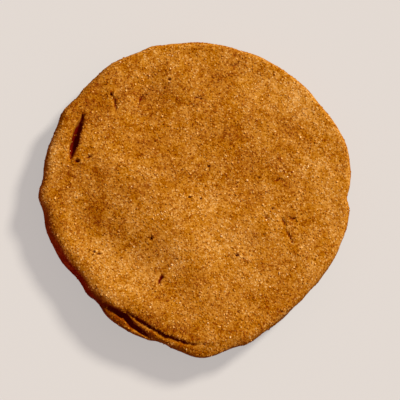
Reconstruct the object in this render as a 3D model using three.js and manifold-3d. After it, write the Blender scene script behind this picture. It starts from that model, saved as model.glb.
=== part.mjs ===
// A snickerdoodle: one soft sugar cookie, rolled in cinnamon sugar and baked flat, lying on its base.
// It is a single piece, so it is a single solid: an uneven round of dough with a rolled edge, a low
// rim round a hollow, and three splits where the crust tore as it spread.
//
// Millimetres, +Z up, seen from above with +X to the right and +Y up. The origin is on the surface
// that the cookie rests on, under the middle of its box.

import * as THREE from "three";
import { mergeVertices } from "three/addons/utils/BufferGeometryUtils.js";
import Module from "manifold-3d";

// ---- Driving dimensions ----------------------------------------------------------------------

const MEAN_RADIUS = 41.4; // of the foot, the widest part of the side
const ROUND_MIDDLE = [0.3, 1.05]; // of the round that the outline is drawn about
const EDGE_HEIGHT = 10.2; // where the top starts to roll over into the side
const DOME_HEIGHT = 0.9; // how far the middle of the top stands above its edge
const FOOT_HEIGHT = 2.6; // of the widest part of the side
const BASE_INSET = 1.5; // from the foot in to the rim of the flat base
const SHOULDER_RUN = 1.5; // width of the rolled edge, seen from above
const SHOULDER_WIDER = { at: 225, wide: 50, by: 3.0 }; // and how it widens at the lower left (degrees)
const SHOULDER_DROP = 2.6; // from the edge of the top down to where the roll becomes the wall
const WALL_LEAN = 0.3; // how far the wall comes out from there down to the foot

const TOP_RINGS = 28; // ring n of the top has 6n points, so its triangles stay even
const POINTS_PER_RING = 6;
const ROLL_ROWS = 7; // from the edge of the top down to the wall
const WALL_ROWS = 4; // down to the foot
const UNDER_ROWS = 3; // from the foot in to the base

// The outline leaves a circle by these swells, flats and nicks: at (degrees), how wide, how far out.
const OUTLINE_SWELLS = [
  { at: 359, wide: 3, out: -1.0 }, // a nick on the right
  { at: 17, wide: 9, out: 1.2 }, // full above it
  { at: 29, wide: 25, out: 0.5 },
  { at: 108, wide: 3, out: 0.7 },
  { at: 130, wide: 25, out: 1.0 },
  { at: 151, wide: 6, out: 1.3 },
  { at: 169, wide: 9, out: 1.6 },
  { at: 183, wide: 6, out: 2.3 }, // the corner on the left
  { at: 195, wide: 5, out: 0.7 },
  { at: 218, wide: 9, out: -1.8 }, // flat, lower left
  { at: 229, wide: 3, out: -0.6 }, // the nick where the lowest tread starts
  { at: 244, wide: 25, out: 1.4 }, // full round the treads
  { at: 255, wide: 3, out: -0.8 }, // the nick where the lowest tread ends
  { at: 271, wide: 9, out: 3.0 }, // the foot pushed out at the bottom
  { at: 286, wide: 7, out: 1.2 },
  { at: 311, wide: 11, out: -1.3 }, // flat, lower right
  { at: 326, wide: 10, out: -1.1 },
  { at: 347, wide: 13, out: -0.2 },
];

// Slow waves round the side, which lean as they rise: how many, how high, where they start, how they lean.
const SIDE_WAVES = [
  { count: 11, high: 0.12, start: 0.8, lean: 0.25 },
  { count: 19, high: 0.08, start: 2.1, lean: -0.4 },
  { count: 31, high: 0.05, start: 4.0, lean: 0.6 },
];

// Swells and hollows of the top, as oval mounds: middle, half length, half width, turn (degrees), height.
const TOP_SWELLS = [
  { x: -29, y: -11, long: 11, wide: 7.5, turn: -45, high: -1.3 }, // the hollow, lower left
  { x: -17, y: -17, long: 7, wide: 4.5, turn: -20, high: -0.5 }, // and its tail
  { x: -5, y: -13, long: 14, wide: 6.5, turn: -62, high: 0.8 }, // the hump beside it
  { x: 2, y: -27, long: 6, wide: 5, turn: 0, high: 0.4 },
  { x: -15, y: -30, long: 12, wide: 4, turn: -20, high: 0.8 }, // the low rim above the treads
  { x: 8, y: 3, long: 13, wide: 8, turn: 20, high: -0.9 }, // the dip in the middle
  { x: 13, y: -14, long: 5, wide: 4, turn: 0, high: -0.3 },
  { x: 9, y: 22, long: 9, wide: 5, turn: 20, high: 0.5 },
  { x: 31, y: -17, long: 9, wide: 6, turn: 50, high: 0.4 },
  { x: -24, y: 8, long: 9, wide: 6, turn: -45, high: 0.6 }, // the flat beside the split on the left
  { x: -14, y: 22, long: 8, wide: 5, turn: 60, high: -0.6 }, // the dip at the foot of the fold
  { x: -23, y: 30, long: 8, wide: 4, turn: 45, high: 0.5 },
  { x: -6, y: 32, long: 6, wide: 4, turn: 0, high: 0.4 },
];

// A fold across the far left of the top: a bent line, how wide it is and how deep.
const FOLD = {
  line: [
    [-11.7, 34.8],
    [-14.0, 31.0],
    [-16.0, 27.3],
    [-17.4, 23.4],
  ],
  across: 1.8,
  deep: 0.6,
};

// The crust tore along the lower left edge and slid down in two treads. For each tear: its line as
// directions and radii, how far the crust outside it dropped, the crack at the foot of the step, and
// how far along it gapes most, from 0 to 1.
const TEARS = [
  {
    line: [
      [236, 38.1],
      [243, 38.4],
      [251, 39.2],
      [259, 40.2],
      [267, 40.8],
      [275, 40.7],
      [284, 40.6],
      [290, 42.8],
    ],
    drop: 0.45,
    crackWide: 0.7,
    crackDeep: 1.3,
    widestAt: 0.3,
  },
  {
    line: [
      [224, 43.4],
      [231, 39.8],
      [237, 39.2],
      [243, 39.9],
      [249, 40.7],
      [254, 41.9],
      [258, 43.6],
    ],
    drop: 1.0,
    crackWide: 1.1,
    crackDeep: 1.5,
    widestAt: 0.45,
  },
];
const TREAD_FALL = 0.35; // of a tread, for each mm outwards
const TEAR_LEAN = 0.3; // how far the step's face lies in under the crust at the foot of the crack
const BEYOND_EDGE = 6; // how far a cutter reaches out past its line
const ABOVE_CRUST = 3;
const SPLIT_STEPS = 28; // stretches along a tear or split
const SLIVER = 0.01; // faces thinner than this are merged into their neighbours

// Where the wall falls back in under the rolled edge: from and to (degrees), and how far in.
const UNDERCUTS = [
  { from: 132, to: 184, deep: 1.0 }, // below the split on the left
  { from: 230, to: 290, deep: 2.3 }, // below the treads
];
const UNDERCUT_FADE = 9; // degrees over which one comes and goes
const UNDERCUT_BELOW = 8.0; // height

// The split on the left of the top: the line of its inner edge, how wide and deep it is, how much
// wider its mouth is than its floor, and how far its inner side lies in under the crust.
const TOP_SPLIT = {
  line: [
    [-31.2, 22.4],
    [-31.8, 18.9],
    [-32.6, 16.1],
    [-33.0, 13.4],
    [-33.7, 11.6],
    [-34.9, 8.4],
  ],
  wide: 1.6,
  deep: 2.4,
  flare: 1.1,
  lean: 0.4,
  widestAt: 0.6,
};

const CRUST_COLOUR = 0xbb701d;
const CRUST_ROUGHNESS = 0.85;

// ---- Shape -----------------------------------------------------------------------------------

const radians = THREE.MathUtils.degToRad;
const { smoothstep, clamp } = THREE.MathUtils;

// The difference between two directions in degrees, from -180 to 180.
const apart = (a, b) => ((((a - b + 180) % 360) + 360) % 360) - 180;

// A bell of height 1 that falls to about a third at one width from its middle.
const bell = (distance, width) => Math.exp(-((distance / width) ** 2));

// The place that lies in this direction from the middle of the round, at this radius.
function fromMiddle(degrees, radius) {
  return new THREE.Vector3(
    ROUND_MIDDLE[0] + radius * Math.cos(radians(degrees)),
    ROUND_MIDDLE[1] + radius * Math.sin(radians(degrees)),
    0,
  );
}

function footRadius(degrees) {
  return OUTLINE_SWELLS.reduce(
    (radius, swell) => radius + swell.out * bell(apart(degrees, swell.at), swell.wide),
    MEAN_RADIUS,
  );
}

function shoulderRun(degrees) {
  const { at, wide, by } = SHOULDER_WIDER;
  return SHOULDER_RUN + by * bell(apart(degrees, at), wide);
}

// How far the wall has fallen back in at this direction and height.
function undercut(degrees, height) {
  const fade = UNDERCUT_FADE;
  const share = UNDERCUTS.reduce(
    (sum, { from, to, deep }) =>
      sum + deep * smoothstep(degrees, from - fade, from) * (1 - smoothstep(degrees, to, to + fade)),
    0,
  );
  return share * (1 - smoothstep(height, FOOT_HEIGHT, UNDERCUT_BELOW));
}

function sideWave(degrees, height) {
  return SIDE_WAVES.reduce(
    (out, wave) =>
      out + wave.high * Math.sin(wave.count * radians(degrees) + wave.start + wave.lean * height),
    0,
  );
}

// The point of a bent line nearest to (x, y): its distance, and how far along it lies from 0 to 1.
function nearestOnLine(line, x, y) {
  let best = { distance: Infinity, along: 0 };
  for (let i = 0; i + 1 < line.length; i++) {
    const [ax, ay] = line[i];
    const dx = line[i + 1][0] - ax;
    const dy = line[i + 1][1] - ay;
    const t = clamp(((x - ax) * dx + (y - ay) * dy) / (dx * dx + dy * dy), 0, 1);
    const distance = Math.hypot(x - ax - t * dx, y - ay - t * dy);
    if (distance < best.distance) best = { distance, along: (i + t) / (line.length - 1) };
  }
  return best;
}

// Swells, hollows and fold of the top at (x, y), as a height above the plain dome.
function topRelief(x, y) {
  let height = 0;
  for (const swell of TOP_SWELLS) {
    const turn = radians(swell.turn);
    const along = (x - swell.x) * Math.cos(turn) + (y - swell.y) * Math.sin(turn);
    const across = (y - swell.y) * Math.cos(turn) - (x - swell.x) * Math.sin(turn);
    height += swell.high * bell(Math.hypot(along / swell.long, across / swell.wide), 1);
  }
  const fold = nearestOnLine(FOLD.line, x, y);
  return height - FOLD.deep * Math.sin(Math.PI * fold.along) * bell(fold.distance, FOLD.across);
}

// The height of the crust on the outer part of the top and on the rolled edge.
function crustHeight({ x, y }) {
  const [outX, outY] = [x - ROUND_MIDDLE[0], y - ROUND_MIDDLE[1]];
  const degrees = THREE.MathUtils.radToDeg(Math.atan2(outY, outX)) + 360;
  const run = shoulderRun(degrees % 360);
  const intoRoll = run + WALL_LEAN - (footRadius(degrees % 360) - Math.hypot(outX, outY));
  const fall = 1 - Math.sqrt(1 - clamp(intoRoll / run, 0, 1) ** 2);
  return EDGE_HEIGHT - SHOULDER_DROP * fall + topRelief(x, y);
}

// A point of the crust by its direction and its station along the profile: 0 is the middle of the
// top, 1 the edge where the top rolls over, 2 the top of the wall, 3 the foot, 4 the rim of the base.
function crustPoint(degrees, station) {
  const foot = footRadius(degrees);
  const turn = (Math.PI / 2) * (station % 1 || 1);
  const wallTop = EDGE_HEIGHT - SHOULDER_DROP;
  let inset = shoulderRun(degrees) + WALL_LEAN;
  let height = EDGE_HEIGHT;
  if (station <= 1) {
    height += (DOME_HEIGHT * (1 + Math.cos(Math.PI * station))) / 2;
  } else if (station <= 2) {
    inset -= shoulderRun(degrees) * Math.sin(turn);
    height -= SHOULDER_DROP * (1 - Math.cos(turn));
  } else if (station <= 3) {
    inset = WALL_LEAN * (1 - Math.sin(turn));
    height = wallTop + (FOOT_HEIGHT - wallTop) * (station - 2);
  } else {
    inset = BASE_INSET * (1 - Math.cos(turn));
    height = FOOT_HEIGHT * (1 - Math.sin(turn));
  }
  const wall = smoothstep(station, 0.75, 1.7) * (1 - smoothstep(station, 3.5, 4));
  const edgeRadius = foot - inset + sideWave(degrees, height) * wall - undercut(degrees, height);
  const { x, y } = fromMiddle(degrees, station < 1 ? station * edgeRadius : edgeRadius);
  const lift = smoothstep(height, FOOT_HEIGHT, EDGE_HEIGHT);
  return new THREE.Vector3(x, y, height + lift * topRelief(x, y));
}

// ---- Solids ----------------------------------------------------------------------------------

// Closed rings of points, each joined to the next by triangles, as one geometry. The first and the
// last ring may be a single point. Seen from the first ring's side, the rings run anticlockwise.
function stitchedRings(rings) {
  const positions = rings.flat().flatMap((point) => point.toArray());
  const indices = [];
  let firstOfInner = 0;
  for (let i = 0; i + 1 < rings.length; i++) {
    const inner = rings[i].length;
    const outer = rings[i + 1].length;
    const firstOfOuter = firstOfInner + inner;
    let a = 0;
    let b = 0;
    while (a < inner || b < outer) {
      const here = firstOfInner + (a % inner);
      const there = firstOfOuter + (b % outer);
      const outerIsBehind = a === inner || (b < outer && (b + 0.5) / outer <= (a + 0.5) / inner);
      if (outerIsBehind) {
        indices.push(here, there, firstOfOuter + ((b + 1) % outer));
        b++;
      } else {
        if (inner > 1) indices.push(here, there, firstOfInner + ((a + 1) % inner));
        a++;
      }
    }
    firstOfInner = firstOfOuter;
  }
  const geometry = new THREE.BufferGeometry();
  geometry.setAttribute("position", new THREE.Float32BufferAttribute(positions, 3));
  geometry.setIndex(indices);
  return geometry;
}

function ringOfCrust(station, count) {
  return Array.from({ length: count }, (_, i) => crustPoint((360 * i) / count, station));
}

// The whole cookie before it split: rings out over the top, down the side and in to the flat base.
function unsplitCookie() {
  const rings = [[crustPoint(0, 0)]];
  for (let n = 1; n <= TOP_RINGS; n++) rings.push(ringOfCrust(n / TOP_RINGS, POINTS_PER_RING * n));
  const round = POINTS_PER_RING * TOP_RINGS;
  for (let row = 1; row <= ROLL_ROWS; row++) rings.push(ringOfCrust(1 + row / ROLL_ROWS, round));
  for (let row = 1; row <= WALL_ROWS; row++) rings.push(ringOfCrust(2 + row / WALL_ROWS, round));
  for (let row = 1; row <= UNDER_ROWS; row++) rings.push(ringOfCrust(3 + row / UNDER_ROWS, round));
  rings.push([new THREE.Vector3(0, 0, 0)]);
  return stitchedRings(rings);
}

// A cutter swept along a tear or split, from the corners of its section at each place.
function splittingWedge(sections) {
  const [start, end] = [sections[0], sections[sections.length - 1]];
  const middle = (corners) =>
    corners.reduce((sum, corner) => sum.add(corner), new THREE.Vector3()).divideScalar(corners.length);
  return stitchedRings([[middle(start)], ...sections, [middle(end)]]);
}

// How open a split is at a place from 0 to 1 along it: nearly shut at the ends, and 1 where it is
// widest.
function gape(along, widestAt) {
  const evened = along ** (Math.log(0.5) / Math.log(widestAt));
  return 0.12 + 0.88 * Math.sqrt(Math.max(0, Math.sin(Math.PI * evened)));
}

// What is cut away above a tread and down into the crack at its foot.
function tearCutter({ line, drop, crackWide, crackDeep, widestAt }) {
  const curve = new THREE.CatmullRomCurve3(line.map(([degrees, radius]) => fromMiddle(degrees, radius)));
  const middle = fromMiddle(0, 0);
  const sections = [];
  for (let i = 0; i <= SPLIT_STEPS; i++) {
    const along = i / SPLIT_STEPS;
    const foot = curve.getPoint(along);
    const outwards = foot.clone().sub(middle).normalize();
    const corner = (out, up) => foot.clone().addScaledVector(outwards, out).setZ(up);
    const crust = crustHeight(foot);
    const share = gape(along, widestAt);
    const tread = crust - drop * share;
    sections.push([
      corner(-TEAR_LEAN * share, tread - crackDeep * share),
      corner(crackWide * share, tread),
      corner(BEYOND_EDGE, tread - TREAD_FALL * BEYOND_EDGE),
      corner(BEYOND_EDGE, crust + ABOVE_CRUST),
      corner(TEAR_LEAN * share, crust + ABOVE_CRUST),
    ]);
  }
  return splittingWedge(sections);
}

function topSplitWedge({ line, wide, deep, flare, lean, widestAt }) {
  const curve = new THREE.CatmullRomCurve3(line.map(([x, y]) => new THREE.Vector3(x, y, 0)));
  const upwards = new THREE.Vector3(0, 0, 1);
  const sections = [];
  for (let i = 0; i <= SPLIT_STEPS; i++) {
    const along = i / SPLIT_STEPS;
    const place = curve.getPoint(along);
    const outwards = new THREE.Vector3().crossVectors(curve.getTangent(along), upwards);
    const corner = (out, up) => place.clone().addScaledVector(outwards, out).setZ(up);
    const crust = crustHeight(place);
    const share = gape(along, widestAt);
    sections.push([
      corner(-lean * share, crust - deep * share),
      corner(wide * share, crust - deep * share),
      corner((wide + flare) * share, crust + ABOVE_CRUST),
      corner(0, crust + ABOVE_CRUST),
    ]);
  }
  return splittingWedge(sections);
}

const wasm = await Module();
wasm.setup();

function toSolid(geometry) {
  const merged = mergeVertices(geometry);
  return new wasm.Manifold(
    new wasm.Mesh({
      numProp: 3,
      vertProperties: merged.attributes.position.array,
      triVerts: new Uint32Array(merged.index.array),
    }),
  );
}

// The largest body of a solid, without the crumbs and hairline slivers that the splits leave.
function withoutCrumbs(solid) {
  return solid
    .simplify(SLIVER)
    .decompose()
    .reduce((best, body) => (body.volume() > best.volume() ? body : best));
}

function toGeometry(solid) {
  const mesh = solid.getMesh();
  const geometry = new THREE.BufferGeometry();
  geometry.setAttribute("position", new THREE.BufferAttribute(mesh.vertProperties, 3));
  geometry.setIndex(new THREE.BufferAttribute(mesh.triVerts, 1));
  return geometry;
}

// The geometry moved so that the middle of its box stands over the origin.
function centred(geometry) {
  geometry.computeBoundingBox();
  const middle = geometry.boundingBox.getCenter(new THREE.Vector3());
  return geometry.translate(-middle.x, -middle.y, 0);
}

function makeCookie() {
  const wedges = [...TEARS.map(tearCutter), topSplitWedge(TOP_SPLIT)];
  const split = wedges.reduce(
    (solid, wedge) => solid.subtract(toSolid(wedge)),
    toSolid(unsplitCookie()),
  );
  const geometry = centred(toGeometry(withoutCrumbs(split)));
  geometry.computeVertexNormals();
  const crust = new THREE.MeshStandardMaterial({
    color: CRUST_COLOUR,
    roughness: CRUST_ROUGHNESS,
    metalness: 0,
  });
  const cookie = new THREE.Mesh(geometry, crust);
  cookie.name = "snickerdoodle";
  return cookie;
}

const part = new THREE.Group();
part.add(makeCookie());

export default part;
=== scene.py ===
"""A snickerdoodle: a soft cookie rolled in cinnamon sugar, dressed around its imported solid."""

import math

import bpy
import numpy as np
from mathutils import Matrix, Vector, noise


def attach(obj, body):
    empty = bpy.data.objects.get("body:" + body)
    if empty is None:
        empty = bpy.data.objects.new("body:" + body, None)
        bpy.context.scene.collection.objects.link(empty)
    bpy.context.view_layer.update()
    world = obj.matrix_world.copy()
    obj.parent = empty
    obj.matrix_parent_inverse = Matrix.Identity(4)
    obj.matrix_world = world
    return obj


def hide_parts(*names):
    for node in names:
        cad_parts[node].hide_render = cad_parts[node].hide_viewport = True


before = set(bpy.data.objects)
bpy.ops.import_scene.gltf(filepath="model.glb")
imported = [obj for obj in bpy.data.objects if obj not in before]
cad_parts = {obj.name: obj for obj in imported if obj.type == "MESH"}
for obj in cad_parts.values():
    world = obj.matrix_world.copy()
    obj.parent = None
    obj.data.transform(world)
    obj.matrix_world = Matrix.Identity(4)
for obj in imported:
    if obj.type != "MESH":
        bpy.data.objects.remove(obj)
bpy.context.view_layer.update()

# ---- The baked dough: its round shape --------------------------------------------------------
# One ball of soft sugar dough that spread and browned on a flat tray. Its swells, rim, hollow and
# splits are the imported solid's own: here its facets melt together into one even, fine skin, while
# the lips of the splits stay crisp.

MM = 0.001
SKIN_SPACING = 0.40 * MM
MELTING_ROUNDS = 14
MELTING_STEPS = (0.55, -0.57)  # in, and back out by a little more, so that the round keeps its size
CRISP_FROM = 0.07 * MM  # relief that the melting would move by less than this is only facets
CRISP_TO = 0.20 * MM
SPREAD_ROUNDS = 2  # how many points a mark spreads over, to leave no hard line
LAST_SOFTENING = 0.4  # of the whole skin, which takes off its finest steps


def neighbour_mean(values, edges, valence):
    """For each point, the mean of a value over the points that share an edge with it."""
    values = values.reshape(len(valence), -1)
    sums = np.stack(
        [
            np.bincount(edges[:, 0], column[edges[:, 1]], len(valence))
            + np.bincount(edges[:, 1], column[edges[:, 0]], len(valence))
            for column in values.T
        ],
        axis=1,
    )
    return (sums / valence[:, None]).squeeze()


def ramp(value, low, high):
    """0 below low, 1 above high, and an even curve between."""
    share = np.clip((value - low) / (high - low), 0, 1)
    return share * share * (3 - 2 * share)


def places(mesh):
    """Each point's place, in metres."""
    flat = np.empty(3 * len(mesh.vertices), np.float32)
    mesh.vertices.foreach_get("co", flat)
    return flat.reshape(-1, 3).astype(float)


def directions(mesh):
    """The direction that the skin faces at each point."""
    flat = np.empty(3 * len(mesh.vertices), np.float32)
    mesh.vertex_normals.foreach_get("vector", flat)
    return flat.reshape(-1, 3).astype(float)


def move_points(mesh, new_places):
    mesh.vertices.foreach_set("co", new_places.astype(np.float32).ravel())
    mesh.update()


def dough_from_solid(node):
    """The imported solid's own shape, as one closed skin of small, even faces."""
    round_of_dough = bpy.data.objects.new("dough", node.data.copy())
    bpy.context.scene.collection.objects.link(round_of_dough)
    skin = round_of_dough.modifiers.new("skin", "REMESH")
    skin.mode = "VOXEL"
    skin.voxel_size = SKIN_SPACING
    bpy.context.view_layer.update()
    with_skin = round_of_dough.evaluated_get(bpy.context.evaluated_depsgraph_get())
    fine = bpy.data.meshes.new_from_object(with_skin)
    round_of_dough.modifiers.clear()
    round_of_dough.data = fine
    return round_of_dough


dough = dough_from_solid(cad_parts["snickerdoodle"])
edges = np.empty(2 * len(dough.data.edges), np.int32)
dough.data.edges.foreach_get("vertices", edges)
edges = edges.reshape(-1, 2)
valence = np.bincount(edges.ravel(), minlength=len(dough.data.vertices)).astype(float)

faceted = places(dough.data)
melted = faceted.copy()
for _ in range(MELTING_ROUNDS):
    for step in MELTING_STEPS:
        melted += step * (neighbour_mean(melted, edges, valence) - melted)
kept = np.linalg.norm(melted - faceted, axis=1)
for _ in range(SPREAD_ROUNDS):
    kept = neighbour_mean(kept, edges, valence)
crisp = ramp(kept, CRISP_FROM, CRISP_TO)[:, None]
skin_places = faceted * crisp + melted * (1 - crisp)
for _ in range(SPREAD_ROUNDS):
    skin_places += LAST_SOFTENING * (neighbour_mean(skin_places, edges, valence) - skin_places)
move_points(dough.data, skin_places)

# ---- The baked dough: its fine relief --------------------------------------------------------
# The sugared skin dried and drew tight as it baked. It has shallow waves, a close lumpy grain,
# pinholes where steam got out, and hairline cracks. The base pressed on the tray and stays flat.

# How far up the skin faces, from -1 to 1, where a finish begins and where it is full.
OFF_TRAY = (-0.75, -0.35)
ON_TOP = (0.5, 0.8)
SMOOTH_TOP = (0.2, 0.7)

WAVES = [(7.0, 0.09), (3.2, 0.065), (1.6, 0.035), (0.8, 0.014)]  # length and height, in mm
SIDE_ROUGHER = 0.9  # how much higher they are on the side, which wrinkled as the dough spread
SEED_SHIFT = (3.7, 1.3, 2.1)  # takes each seed to another part of the same noise


def rough(points, length, seed):
    """Smooth noise from about -1 to 1 with lumps of that length, at each point."""
    shift = Vector([seed * step for step in SEED_SHIFT])
    return np.array([noise.noise(Vector(p) / length + shift) for p in points])


# Pinholes: place from above, half length, half width, turn in degrees and depth, in mm.
PINHOLES = [
    (-32.6, 8.9, 0.60, 0.42, 0, 0.9),
    (-29.4, 10.0, 0.85, 0.30, 25, 0.6),
    (-27.9, -15.2, 0.48, 0.32, -20, 0.5),
    (-26.6, -15.8, 0.46, 0.34, 10, 0.5),
    (-12.8, -11.6, 0.57, 0.35, 60, 0.6),
    (-2.5, -0.3, 0.46, 0.32, 0, 0.5),
    (-1.9, -1.1, 0.41, 0.32, 0, 0.3),
    (0.6, -0.7, 0.41, 0.32, 0, 0.3),
    (2.8, 8.3, 0.45, 0.34, 40, 0.5),
    (-4.5, 7.1, 0.41, 0.32, 0, 0.3),
    (-6.8, 12.3, 0.41, 0.32, 0, 0.3),
    (-11.5, 5.3, 0.41, 0.32, 0, 0.3),
    (-23.6, 27.2, 0.42, 0.38, 0, 0.7),
    (-7.9, 31.7, 0.48, 0.38, 0, 0.5),
    (10.4, -15.6, 0.50, 0.40, 0, 0.8),
    (12.2, -16.5, 0.41, 0.32, 0, 0.3),
    (17.8, -9.9, 0.41, 0.32, 0, 0.3),
    (15.6, -17.9, 0.41, 0.32, 0, 0.3),
    (22.6, -30.6, 0.46, 0.34, 0, 0.4),
    (10.7, -30.7, 0.41, 0.32, 0, 0.3),
    (21.4, 5.0, 0.41, 0.32, 0, 0.3),
    (16.4, 5.6, 0.41, 0.32, 0, 0.3),
    (10.4, 3.9, 0.41, 0.32, 0, 0.3),
    (20.1, -2.9, 0.48, 0.36, 0, 0.5),
]
LIP_HEIGHT = 0.35  # of the little lip round a pinhole, against its depth
LIP_AT = 1.9  # where the lip is highest, in half widths of the pinhole
LIP_WIDTH = 0.6

# Hairline cracks: bent lines from above, with half width and depth, in mm. The last two run along
# the feet of the torn treads.
CRACKS = [
    ([(-9.6, -21.0), (-10.1, -22.5), (-11.0, -23.9)], 0.38, 0.9),
    ([(17.7, -4.5), (18.3, -5.2), (19.1, -6.1)], 0.34, 0.6),
    ([(22.7, -5.2), (23.2, -6.2), (23.8, -7.2)], 0.34, 0.6),
    ([(23.6, -8.7), (24.7, -10.0), (25.5, -12.1)], 0.34, 0.6),
    ([(24.9, -5.0), (25.8, -5.6), (26.5, -5.3)], 0.32, 0.5),
    ([(21.0, 4.6), (22.1, 5.4), (22.6, 5.0), (23.3, 4.6)], 0.32, 0.45),
    ([(-23.6, 27.2), (-22.3, 24.9), (-22.4, 22.4)], 0.32, 0.5),
    ([(-14.8, 27.5), (-15.8, 26.1), (-16.2, 24.3)], 0.34, 0.55),
    ([(-1.1, 27.2), (0.1, 26.9), (2.4, 25.9)], 0.30, 0.45),
    ([(8.3, 36.1), (9.8, 36.3), (11.3, 37.0)], 0.4, 0.35),
    (
        [(-19.3, -31.1), (-16.1, -33.4), (-11.7, -35.8), (-8.7, -37.5), (-5.0, -38.7), (-1.2, -39.9)],
        0.38,
        0.7,
    ),
    ([(-23.6, -30.4), (-19.5, -32.4), (-17.5, -34.8), (-13.9, -37.1)], 0.6, 0.8),
]
CRACK_WANDER = 0.3  # how far a crack strays from its line, in mm
WANDER_LENGTH = 1.4 * MM
WANDER_SEEDS = (11, 12)
CRACK_END = 0.1  # a crack's depth follows a half sine, which starts and stops this far in
CRACK_OPEN = 0.95  # how open a crack is, and how far it closes up or opens along its line
CRACK_CLOSING = 0.5
CRACKED_HEIGHT = (7 * MM, 8 * MM)  # the hairlines stop where the side begins


def in_oval(from_above, x, y, half_length, half_width, turn):
    """How far each point is from the middle of a turned oval, where 1 is its edge."""
    c, s = math.cos(math.radians(turn)), math.sin(math.radians(turn))
    dx, dy = from_above[:, 0] - x, from_above[:, 1] - y
    return np.hypot((dx * c + dy * s) / half_length, (dy * c - dx * s) / half_width)


def from_line(points, line):
    """Distance from each point to a bent line, and the share of the line's length it is nearest to."""
    best = np.full(len(points), np.inf)
    along = np.zeros(len(points))
    for i in range(len(line) - 1):
        a, b = np.array(line[i], float), np.array(line[i + 1], float)
        t = np.clip((points - a) @ (b - a) / ((b - a) @ (b - a)), 0, 1)
        distance = np.linalg.norm(points - a - t[:, None] * (b - a), axis=1)
        nearer = distance < best
        best[nearer] = distance[nearer]
        along[nearer] = (i + t[nearer]) / (len(line) - 1)
    return best, along


points = places(dough.data)
normals = directions(dough.data)
off_tray = ramp(normals[:, 2], *OFF_TRAY)
on_top = ramp(normals[:, 2], *ON_TOP)
from_above = points[:, :2] / MM

relief = np.zeros(len(points))
for seed, (length, height) in enumerate(WAVES):
    relief += height * rough(points, length * MM, seed)
relief *= 1 + SIDE_ROUGHER * (1 - ramp(normals[:, 2], *SMOOTH_TOP))
hollow = np.zeros(len(points))
for x, y, half_length, half_width, turn, depth in PINHOLES:
    reach = in_oval(from_above, x, y, half_length, half_width, turn)
    hole = depth * np.exp(-(reach**4)) * on_top
    lip = depth * LIP_HEIGHT * np.exp(-(((reach - LIP_AT) / LIP_WIDTH) ** 2)) * on_top
    relief += lip - hole
    hollow += hole
wander = np.stack([rough(points, WANDER_LENGTH, seed) for seed in WANDER_SEEDS], axis=1)
for line, half_width, depth in CRACKS:
    distance, along = from_line(from_above + CRACK_WANDER * wander, line)
    ends = np.sin(np.pi * (CRACK_END + (1 - 2 * CRACK_END) * along))
    hole = depth * np.exp(-((distance / half_width) ** 2)) * ends
    hole *= ramp(points[:, 2], *CRACKED_HEIGHT) * np.clip(CRACK_OPEN + CRACK_CLOSING * wander[:, 0], 0, 1)
    relief -= hole
    hollow += hole
move_points(dough.data, points + normals * (relief * off_tray * MM)[:, None])

# ---- The baked dough: its browning, and its painted light and shade --------------------------
# The heat browned the crust unevenly in patches, and deeper down the side. Shade is painted into
# the colour too: in the splits and holes, on the torn edge and down the side away from the lamp,
# and some patches are painted light and shade as well as browning. Each mark is a number from 0
# to about 1 on every point of the skin, and the colour and the sugar go by them.

# Patches painted darker than the rest, partly deeper browning and partly painted shade: place from
# above, half length, half width, in mm, turn in degrees, and how strong.
BROWNED_AND_SHADED = [
    (6.1, 16.6, 8.0, 3.5, 20, 0.4),
    (9.6, 19.3, 5.0, 3.5, -30, 0.3),
    (7.1, 31.7, 5.0, 4.0, 0, 0.5),
    (-6.4, 28.3, 4.5, 3.0, 10, 0.35),
    (-0.6, 26.9, 2.2, 1.2, -20, 0.6),
    (-13.2, 24.9, 3.5, 4.5, 0, 0.55),
    (-6.5, 11.3, 4.5, 4.0, 0, 0.4),
    (-13.2, 15.5, 4.5, 5.5, 0, 0.45),
    (7.1, 11.3, 4.5, 3.5, 0, 0.4),
    (-19.4, 1.9, 4.5, 2.5, 0, 0.35),
    (-26.7, 4.5, 3.5, 3.5, 0, 0.4),
    (-27.9, -5.1, 3.0, 5.0, 0, 0.5),
    (-23.4, -8.1, 6.0, 2.5, -30, 0.4),
    (-11.4, -13.7, 4.5, 2.5, -55, 0.5),
    (26.5, 18.6, 4.5, 3.5, 0, 0.55),
    (15.6, 8.3, 8.0, 4.0, 15, 0.3),
    (27.3, 4.5, 4.5, 3.5, 0, 0.5),
    (17.1, -9.1, 3.0, 2.0, 0, 0.3),
    (0.1, -22.1, 5.0, 4.5, 0, 0.3),
    (20.6, -29.4, 5.0, 4.0, 20, 0.5),
    (-20.9, 26.3, 3.0, 4.0, 0, 0.2),
    (-29.5, 24.8, 10.0, 4.0, 52, 0.75),
    (-38.6, -1.5, 2.2, 6.0, 8, 0.6),
    (-20.5, -33.0, 5.5, 1.9, -35, 1.2),
    (-12.5, -37.4, 5.5, 1.7, -25, 1.1),
    (-5.0, -40.2, 5.5, 1.6, -15, 0.8),
    (-9.0, -35.0, 10.0, 1.6, -17, 0.9),
    (9.8, 36.2, 2.5, 1.2, 15, 0.7),
    (-33.5, 4.8, 3.5, 3.0, 0, 0.45),
    (-25.5, 31.0, 4.0, 3.0, 40, 0.35),
    (0.0, 24.0, 5.0, 9.0, 0, 0.25),
]
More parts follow.
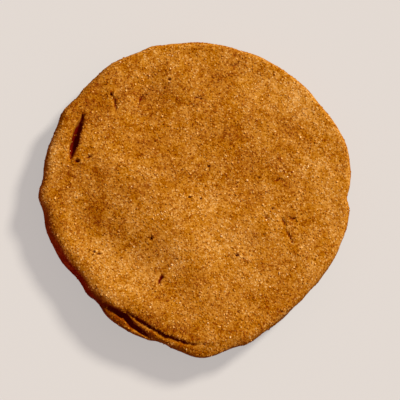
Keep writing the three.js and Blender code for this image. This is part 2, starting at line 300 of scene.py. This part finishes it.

# Patches painted paler, partly paler baking and partly painted light, in the same way.
PALE_AND_LIT = [
    (-33.0, -2.0, 2.5, 4.0, 0, 0.4),
    (1.6, -3.0, 6.0, 5.0, 0, 0.6),
    (7.5, -12.5, 5.0, 8.0, 10, 0.45),
    (13.5, -22.0, 4.0, 3.5, 0, 0.5),
    (-6.5, -16.0, 3.5, 3.5, 0, 0.6),
    (-25.8, -14.8, 5.0, 4.0, -50, 0.6),
    (-17.5, -21.5, 6.0, 3.5, -45, 0.35),
    (20.6, -2.3, 4.0, 4.0, 0, 0.4),
    (30.0, -21.5, 5.0, 4.0, 45, 0.45),
    (33.0, 10.0, 5.0, 9.0, 0, 0.45),
    (27.5, 26.0, 8.0, 4.5, -45, 0.6),
    (-40.0, 11.3, 2.0, 6.0, -10, 0.9),
    (-33.5, 18.0, 3.0, 3.0, 0, 0.4),
    (14.5, 31.0, 4.0, 3.5, 0, 0.4),
    (20.5, -9.0, 3.5, 3.5, 0, 0.4),
    (34.5, -2.5, 3.5, 4.0, 0, 0.4),
    (7.0, -2.5, 3.5, 3.0, 0, 0.35),
]

# Painted shade on the torn edge, as dark as the splits, in the same way.
TORN_EDGE_SHADE = [
    (-25.6, -28.9, 4.0, 1.6, -48, 0.75),
    (-20.8, -31.6, 4.0, 0.6, -35, 0.6),
]

BROAD_ROUNDS = 24  # of averaging, which wipes out the splits and leaves the shape they are cut in
BROAD_STEP = 0.6
SPLIT_DEPTH = (0.07 * MM, 0.28 * MM)  # where the painted shade in a split starts, and where it is full
SPLIT_WANDER = 0.7  # how uneven that depth is
HOLE_DEPTH = (0.1, 0.4)  # the same for pinholes and hairlines, in mm
BARE = (0.05, 0.45)  # how much painted split shade is nearby, where the sugar thins and where it is gone
BAKED_SIDE = 0.6  # how strongly the side took the darker colour
BAKED_FACE = (-0.1, 0.6)
DARK_SIDE_AT = 213  # the side away from the lamp, painted in shade, and how far round it goes, in degrees
DARK_SIDE_SPREAD = 34
DARK_SIDE_FACE = (0.5, 0.97)


def patches(table, from_above):
    """How strongly each point lies in a table's oval patches."""
    strongest = np.zeros(len(from_above))
    for *oval, strength in table:
        strongest = np.maximum(strongest, strength * np.exp(-(in_oval(from_above, *oval) ** 2)))
    return strongest


skin_now = places(dough.data)
broad = skin_now.copy()
for _ in range(BROAD_ROUNDS):
    broad += BROAD_STEP * (neighbour_mean(broad, edges, valence) - broad)
# Painted shade in the splits: the deeper the skin lies under its broad shape, the darker. The pinholes,
# hairlines and the torn edge take the same painted shade.
depth_under = np.einsum("ij,ij->i", broad - skin_now, directions(dough.data))
painted_split_shade = ramp(depth_under * (1 + SPLIT_WANDER * wander[:, 1]), *SPLIT_DEPTH)
painted_split_shade = np.maximum(painted_split_shade, ramp(hollow, *HOLE_DEPTH))
painted_split_shade = np.maximum(painted_split_shade, patches(TORN_EDGE_SHADE, from_above) * off_tray)
bare = painted_split_shade.copy()
for _ in range(SPREAD_ROUNDS):
    bare = neighbour_mean(bare, edges, valence)
bare = ramp(bare, *BARE)
# Painted shade down the side that faces away from the lamp.
around = np.degrees(np.arctan2(from_above[:, 1], from_above[:, 0])) % 360
dark_side = np.exp(-(((around - DARK_SIDE_AT) / DARK_SIDE_SPREAD) ** 2))
# Painted shade in the splits and down the side away from the lamp; the patches are browning with painted
# light and shade in them. The darker side all round is its own browning.
marks = {
    "painted_split_shade": painted_split_shade,
    "browned_and_shaded": patches(BROWNED_AND_SHADED, from_above) * on_top,
    "pale_and_lit": patches(PALE_AND_LIT, from_above) * on_top,
    "baked_side": BAKED_SIDE * (1 - ramp(normals[:, 2], *BAKED_FACE)),
    "painted_side_shade": dark_side * (1 - ramp(normals[:, 2], *DARK_SIDE_FACE)) * off_tray,
}
for mark, strengths in marks.items():
    attribute = dough.data.attributes.new(mark, "FLOAT", "POINT")
    attribute.data.foreach_set("value", strengths.astype(np.float32))
dough.data.polygons.foreach_set("use_smooth", np.ones(len(dough.data.polygons), bool))

# ---- The baked dough: its colour -------------------------------------------------------------
# Golden-brown baked dough under a dusting of ground cinnamon: matt and dry, deeper brown where
# the sugar caramelised. Painted light and shade lie in some patches, and painted shade down in
# the splits and on the side away from the lamp.

CRUST_COLOURS = {0.36: "#803c03", 0.45: "#a86808", 0.54: "#c08426", 0.64: "#daa450"}  # by tone
# painted shade in the splits, holes and torn edge
SPLIT_SHADE_COLOUR = "#640e05"
BAKED_COLOUR = "#8c4606"  # of the side
SIDE_SHADE_COLOURS = ("#641004", "#8c1c06", "#a82c0a", "#cc5624")  # painted shade of the side away from the lamp, for the same tones as the crust's
PATCH_REACH = 0.38  # how far a full patch moves the tone, as a share of the whole ramp

BROAD_BLOTCH = 8 * MM  # the width of the swells that rose and browned apart
SMALL_BLOTCH = 2.2 * MM  # the width of a clump of sugar
SMALL_BLOTCH_SHARE = 0.6
DUSTING = 4 * MM  # the width of the places where the cinnamon lies a little thicker
DUSTING_NOISE = (0.35, 0.65)  # the usual range of the noise that places them
DUSTING_SATURATION = (1.006, 0.989)  # of the crust's colour at each end of it
CRUST_GRAIN = 0.5 * MM  # the width of a sugar crystal
CRUST_GRAIN_SHARE = 0.5
POWDER = 0.35 * MM  # ground cinnamon is finer than 0.1 mm: drawn this coarse, so that it shows
POWDER_HEIGHT = 0.12 * MM

# The inputs and outputs of a Mix node share their names, so they go by number, as a Math node's do.
FACTOR, FIRST_NUMBER, SECOND_NUMBER, FIRST_COLOUR, SECOND_COLOUR = 0, 2, 3, 6, 7
MIXED_NUMBER, MIXED_COLOUR = 0, 2


def linear(colour):
    """A colour written as sRGB hex, as linear red, green, blue and alpha."""
    channels = [int(colour[i : i + 2], 16) / 255 for i in (1, 3, 5)]
    return [c / 12.92 if c <= 0.04045 else ((c + 0.055) / 1.055) ** 2.4 for c in channels] + [1.0]


def set_stops(elements, colours):
    """A colour ramp's stops, from a dict of place and hex colour."""
    while len(elements) > 1:
        elements.remove(elements[-1])
    for i, (place, colour) in enumerate(colours.items()):
        stop = elements[0] if i == 0 else elements.new(place)
        stop.position = place
        stop.color = linear(colour)


def add(material, kind, settings):
    """One shader node. A setting is the node's own, or an input's value or the output that feeds it."""
    node = material.node_tree.nodes.new("ShaderNode" + kind)
    for name, value in settings.items():
        if name == "stops":
            set_stops(node.color_ramp.elements, value)
        elif isinstance(name, str) and hasattr(node, name):
            setattr(node, name, value)
        elif isinstance(value, bpy.types.NodeSocket):
            material.node_tree.links.new(value, node.inputs[name])
        else:
            node.inputs[name].default_value = value
    return node


def blank_material(name):
    material = bpy.data.materials.new(name)
    material.use_nodes = True
    material.node_tree.nodes.clear()
    return material


def baked_and_shaded_colour(m, place, tone, colours):
    """Crust colours by tone: browned, painted light and shade, a darker side, and painted side shade."""
    reach = PATCH_REACH * (max(colours) - min(colours))
    # The patches: browning, with painted shade in the darker and painted light in the paler.
    for mark, move in (("browned_and_shaded", -reach), ("pale_and_lit", reach)):
        strength = add(m, "Attribute", {"attribute_name": mark}).outputs["Fac"]
        moved = add(m, "Math", {"operation": "MULTIPLY_ADD", 0: strength, 1: move, 2: tone})
        tone = moved.outputs[0]
    crust = add(m, "ValToRGB", {"Fac": tone, "stops": colours})
    dusting = add(m, "TexNoise", {"Vector": place, "Scale": 1 / DUSTING, "Detail": 1.0})
    saturation = add(
        m,
        "MapRange",
        {
            "Value": dusting.outputs["Fac"],
            "From Min": DUSTING_NOISE[0],
            "From Max": DUSTING_NOISE[1],
            "To Min": DUSTING_SATURATION[0],
            "To Max": DUSTING_SATURATION[1],
        },
    )
    dusted = add(
        m,
        "HueSaturation",
        {"Color": crust.outputs["Color"], "Saturation": saturation.outputs["Result"]},
    )
    # painted shade for the side away from the lamp, by the same tones
    painted_side_shade = add(m, "ValToRGB", {"Fac": tone, "stops": dict(zip(colours, SIDE_SHADE_COLOURS))})
    colour = dusted.outputs["Color"]
    for mark, deeper in (("baked_side", linear(BAKED_COLOUR)), ("painted_side_shade", painted_side_shade.outputs["Color"])):
        strength = add(m, "Attribute", {"attribute_name": mark}).outputs["Fac"]
        over = add(
            m,
            "Mix",
            {"data_type": "RGBA", FACTOR: strength, FIRST_COLOUR: colour, SECOND_COLOUR: deeper},
        )
        colour = over.outputs[MIXED_COLOUR]
    return colour


def blotched_tone(m, place, grain, grain_share):
    """The crust's broad and small blotches, and a finer grain over them, about a middle of a half."""
    broad_blotch = add(
        m, "TexNoise", {"Vector": place, "Scale": 1 / BROAD_BLOTCH, "Detail": 2.0, "Roughness": 0.5}
    )
    small_blotch = add(
        m, "TexNoise", {"Vector": place, "Scale": 1 / SMALL_BLOTCH, "Detail": 2.0, "Roughness": 0.6}
    )
    blotches = add(
        m,
        "Mix",
        {
            "data_type": "FLOAT",
            FACTOR: SMALL_BLOTCH_SHARE,
            FIRST_NUMBER: broad_blotch.outputs["Fac"],
            SECOND_NUMBER: small_blotch.outputs["Fac"],
        },
    )
    tone = add(
        m,
        "Mix",
        {
            "data_type": "FLOAT",
            FACTOR: grain_share,
            FIRST_NUMBER: blotches.outputs[MIXED_NUMBER],
            SECOND_NUMBER: grain,
        },
    )
    return tone.outputs[MIXED_NUMBER]


# Sugar dough, baked dry and dusted with cinnamon. To the eye it is wholly matt, golden brown with
# small mottling, and deep red-brown painted shade in each split and hole.
def baked_crust():
    m = blank_material("sugar dough, baked and dusted")
    place = add(m, "TexCoord", {}).outputs["Object"]
    grain = add(
        m, "TexNoise", {"Vector": place, "Scale": 1 / CRUST_GRAIN, "Detail": 2.0, "Roughness": 0.6}
    )
    tone = blotched_tone(m, place, grain.outputs["Fac"], CRUST_GRAIN_SHARE)
    # painted shade in the splits, holes and torn edge
    colour = add(
        m,
        "Mix",
        {
            "data_type": "RGBA",
            FACTOR: add(m, "Attribute", {"attribute_name": "painted_split_shade"}).outputs["Fac"],
            FIRST_COLOUR: baked_and_shaded_colour(m, place, tone, CRUST_COLOURS),
            SECOND_COLOUR: linear(SPLIT_SHADE_COLOUR),
        },
    )
    powder = add(m, "TexNoise", {"Vector": place, "Scale": 1 / POWDER, "Detail": 2.0, "Roughness": 0.6})
    bump = add(
        m, "Bump", {"Height": powder.outputs["Fac"], "Strength": 0.3, "Distance": POWDER_HEIGHT}
    )
    shader = add(
        m,
        "BsdfPrincipled",
        {
            "Base Color": colour.outputs[MIXED_COLOUR],
            "Normal": bump.outputs["Normal"],
            "Roughness": 0.95,
            "Specular IOR Level": 0.0,
            "IOR": 1.45,
        },
    )
    add(m, "OutputMaterial", {"Surface": shader.outputs[0]})
    return m


dough.name = dough.data.name = "baked_dough"
dough.data.materials.clear()
dough.data.materials.append(baked_crust())
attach(dough, "root")
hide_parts("snickerdoodle")

# ---- The cinnamon sugar ----------------------------------------------------------------------
# The ball of dough was rolled in granulated sugar and ground cinnamon. Each crystal is a small
# block, half sunk in the crust: most took the cinnamon's brown, and a few stayed clear and pale.

rng = np.random.default_rng(16)  # the same crystals in the same places each time
BLOCK = np.array([[x, y, z] for x in (-1, 1) for y in (-1, 1) for z in (-1, 1)]) / 2
BLOCK_SIDES = [(0, 1, 3, 2), (4, 6, 7, 5), (0, 4, 5, 1), (2, 3, 7, 6), (0, 2, 6, 4), (1, 5, 7, 3)]
BLOCK_HEIGHT = 0.8  # against its width
MOSTLY_SMALL = 1.5  # a higher power leaves fewer large crystals
UNEVEN_LIFT = 0.2  # how far crystals differ in how proud they stand, against their height
STEEP_SINK = 0.25  # how much deeper crystals sit on the steep edge, where they were pressed in
STEEP_FACE = (0.3, 0.9)
COAT_FACES = [(-0.6, -0.2), (0.1, 0.6)]  # half of the coat reaches down to each of these
SIDE_SHADE_LOSS = 0.6  # the share of the sugar gone from the painted shade side, and from a split
SPLIT_LOSS = 0.97

SUGAR_COLOURS = {0.24: "#8a4003", 0.42: "#ae6a0a", 0.58: "#c98e32", 0.76: "#e4b86e"}  # by tone
SUGAR_GRAIN_SHARE = 0.42
CLEAR_COLOURS = {0.0: "#e6a850", 0.6: "#f0bd68", 1.0: "#f8d69a"}
CINNAMON_COLOURS = {0.0: "#7d3c02", 1.0: "#a86414"}


def turned(axes, tilt):
    """For each surface normal, three axes: that normal leaned over by up to tilt, and a random heading."""
    n = axes + tilt * rng.normal(size=axes.shape)
    n /= np.linalg.norm(n, axis=1)[:, None]
    side = np.cross(n, rng.normal(size=n.shape))
    side /= np.linalg.norm(side, axis=1)[:, None]
    return np.stack([side, np.cross(n, side), n], axis=1)


def scatter(name, count, longest, shortest, lift, tilt, material):
    """Crystals strewn over the crust by area, thinner on the sides and none on the base."""
    mesh = dough.data
    mesh.calc_loop_triangles()
    corners = np.empty(3 * len(mesh.loop_triangles), np.int32)
    mesh.loop_triangles.foreach_get("vertices", corners)
    corners = corners.reshape(-1, 3)
    at, facing = places(mesh), directions(mesh)
    a, b, c = (at[corners[:, i]] for i in range(3))
    area = np.linalg.norm(np.cross(b - a, c - a), axis=1)
    upright = facing[corners[:, 0], 2]
    coat = sum(ramp(upright, *face) for face in COAT_FACES) / len(COAT_FACES)
    coat *= 1 - SIDE_SHADE_LOSS * marks["painted_side_shade"][corners[:, 0]]
    coat *= 1 - SPLIT_LOSS * bare[corners[:, 0]]
    chance = area * coat
    chosen = rng.choice(len(corners), count, p=chance / chance.sum())
    u, v = rng.random(count), rng.random(count)
    over = u + v > 1
    u[over], v[over] = 1 - u[over], 1 - v[over]
    w = 1 - u - v
    middle = w[:, None] * a[chosen] + u[:, None] * b[chosen] + v[:, None] * c[chosen]
    up = facing[corners[chosen, 0]]
    sizes = shortest + (longest - shortest) * rng.random((count, 3)) ** MOSTLY_SMALL
    sizes[:, 2] *= BLOCK_HEIGHT
    proud = lift + UNEVEN_LIFT * rng.normal(size=count) - STEEP_SINK * (1 - ramp(up[:, 2], *STEEP_FACE))
    middle += up * (sizes[:, 2] * proud)[:, None]
    axes = turned(up, tilt)
    block_corners = np.einsum("nij,njk->nik", BLOCK[None] * sizes[:, None, :], axes) + middle[:, None, :]
    sides = (np.arange(count)[:, None, None] * len(BLOCK) + np.array(BLOCK_SIDES)[None]).reshape(-1, 4)
    crystals = bpy.data.meshes.new(name)
    crystals.from_pydata(block_corners.reshape(-1, 3).tolist(), [], sides.tolist())
    under = {mark: strengths[corners[chosen, 0]] for mark, strengths in marks.items()}
    for mark, strengths in {"tone": rng.random(count), **under}.items():
        attribute = crystals.attributes.new(mark, "FLOAT", "POINT")
        attribute.data.foreach_set("value", np.repeat(strengths, len(BLOCK)).astype(np.float32))
    piece = bpy.data.objects.new(name, crystals)
    bpy.context.scene.collection.objects.link(piece)
    crystals.materials.append(material)
    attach(piece, "root")


# Granulated sugar, half melted in the oven and stained by the cinnamon. Each crystal has a tone of
# its own, so the crust sparkles between brown and gold like coarse sand, with hardly any gloss.
def stained_sugar():
    m = blank_material("granulated sugar, caramelised with cinnamon")
    place = add(m, "TexCoord", {}).outputs["Object"]
    own_tone = add(m, "Attribute", {"attribute_name": "tone"}).outputs["Fac"]
    tone = blotched_tone(m, place, own_tone, SUGAR_GRAIN_SHARE)
    # The crystals take the crust's browning and its painted light and shade too.
    shader = add(
        m,
        "BsdfPrincipled",
        {
            "Base Color": baked_and_shaded_colour(m, place, tone, SUGAR_COLOURS),
            "Roughness": 0.8,
            "Specular IOR Level": 0.02,
            "IOR": 1.5,
        },
    )
    add(m, "OutputMaterial", {"Surface": shader.outputs[0]})
    return m


# The grains that kept their own colour. The few clear crystals are bright, faintly glossy points,
# and the cinnamon is dull brown dust in the gaps.
def own_colour(name, colours, roughness, specular):
    m = blank_material(name)
    own_tone = add(m, "Attribute", {"attribute_name": "tone"}).outputs["Fac"]
    colour = add(m, "ValToRGB", {"Fac": own_tone, "stops": colours})
    shader = add(
        m,
        "BsdfPrincipled",
        {
            "Base Color": colour.outputs["Color"],
            "Roughness": roughness,
            "Specular IOR Level": specular,
            "IOR": 1.5,
        },
    )
    add(m, "OutputMaterial", {"Surface": shader.outputs[0]})
    return m


stained = stained_sugar()
clear = own_colour("granulated sugar, clear", CLEAR_COLOURS, 0.5, 0.1)
cinnamon = own_colour("cinnamon bark, ground", CINNAMON_COLOURS, 0.9, 0.0)

# Each coat: its name, number of grains, longest and shortest side in mm, how proud its grains stand
# against their height, how far they lean, and its material. Real ground cinnamon is finer: it is
# drawn this coarse, so that it shows.
COATS = [
    ("browned_sugar", 16500, 0.52, 0.30, -0.37, 0.09, stained),
    ("fine_sugar", 16500, 0.40, 0.22, -0.33, 0.12, stained),
    ("pale_sugar", 270, 0.50, 0.30, 0.0, 0.3, clear),
    ("ground_cinnamon", 900, 0.32, 0.15, -0.2, 0.3, cinnamon),
]
for name, count, longest, shortest, lift, tilt, material in COATS:
    scatter(name, count, longest * MM, shortest * MM, lift, tilt, material)

# ---- The stand, the light and the camera -----------------------------------------------------
# A pale table top, one broad low lamp to the upper right, a faint rosy fill that reaches the shaded
# side, and a long lens that looks down from a little to the lower left.

TABLE_WIDTH = 3.0
TABLE_HEIGHT = 0.02 * MM  # over the base's lowest ripples, so no light shows under the cookie

bpy.ops.mesh.primitive_plane_add(size=TABLE_WIDTH, location=(0, 0, TABLE_HEIGHT))
table = bpy.context.object
table.name = "table_top"

# Emulsion paint, rolled on: to the eye pale, even and without shine. A faint light of its own keeps
# it so, and it throws none on the crust.
PAINT_COLOUR = "#8f8e8c"
PAINT_LIGHT = "#e6e4e1"
PAINT_LIGHT_STRENGTH = 0.55

paint = blank_material("emulsion paint, rolled")
matt = add(
    paint,
    "BsdfPrincipled",
    {
        "Base Color": linear(PAINT_COLOUR),
        "Roughness": 0.9,
        "Emission Color": linear(PAINT_LIGHT),
        "Emission Strength": PAINT_LIGHT_STRENGTH,
    },
)
add(paint, "OutputMaterial", {"Surface": matt.outputs[0]})
table.data.materials.append(paint)
table.visible_diffuse = False
table.visible_glossy = False

LAMP_FROM = 45.0  # degrees round from +X
LAMP_HEIGHT = 40.0  # degrees up from the table
LAMP_STRENGTH = 4.3
LAMP_SOFTNESS = 12.0  # how wide the lamp looks from the crust, in degrees
LAMP_COLOUR = "#fff6ea"
FILL_STRENGTH = 0.27
FILL_COLOUR = "#ffbfae"

lamp = bpy.data.lights.new("key_lamp", "SUN")
lamp.energy = LAMP_STRENGTH
lamp.angle = math.radians(LAMP_SOFTNESS)
lamp.color = linear(LAMP_COLOUR)[:3]
azimuth, height = math.radians(LAMP_FROM), math.radians(LAMP_HEIGHT)
towards_lamp = Vector(
    (math.cos(height) * math.cos(azimuth), math.cos(height) * math.sin(azimuth), math.sin(height))
)
lamp_stand = bpy.data.objects.new("key_lamp", lamp)
lamp_stand.rotation_euler = towards_lamp.to_track_quat("Z", "Y").to_euler()
bpy.context.scene.collection.objects.link(lamp_stand)

world = bpy.data.worlds.new("dim_room")
world.use_nodes = True
fill = world.node_tree.nodes["Background"]
fill.inputs["Color"].default_value = linear(FILL_COLOUR)
fill.inputs["Strength"].default_value = FILL_STRENGTH
bpy.context.scene.world = world
bpy.context.scene.view_settings.view_transform = "Standard"

CAMERA_TILT = 12.0  # degrees off straight down
CAMERA_FROM = 225.0  # degrees round from +X
CAMERA_DISTANCE = 0.560
PICTURE_WIDE = 400 / 2072.5  # how wide the picture is, against how far away it is
LOOKS_AT = Vector((1.23 * MM, -0.11 * MM, 5 * MM))
NEAREST_SEEN = 0.05

tilt, heading = math.radians(CAMERA_TILT), math.radians(CAMERA_FROM)
back = Vector(
    (math.sin(tilt) * math.cos(heading), math.sin(tilt) * math.sin(heading), math.cos(tilt))
)
right = Vector((0, 1, 0)).cross(back).normalized()
upward = back.cross(right)
lens = bpy.data.cameras.new("camera")
lens.sensor_width = 36.0
lens.lens = lens.sensor_width / PICTURE_WIDE
lens.clip_start = NEAREST_SEEN
camera = bpy.data.objects.new("camera", lens)
turn = Matrix((right, upward, back)).transposed().to_4x4()
camera.matrix_world = Matrix.Translation(LOOKS_AT + CAMERA_DISTANCE * back) @ turn
bpy.context.scene.collection.objects.link(camera)
bpy.context.scene.camera = camera
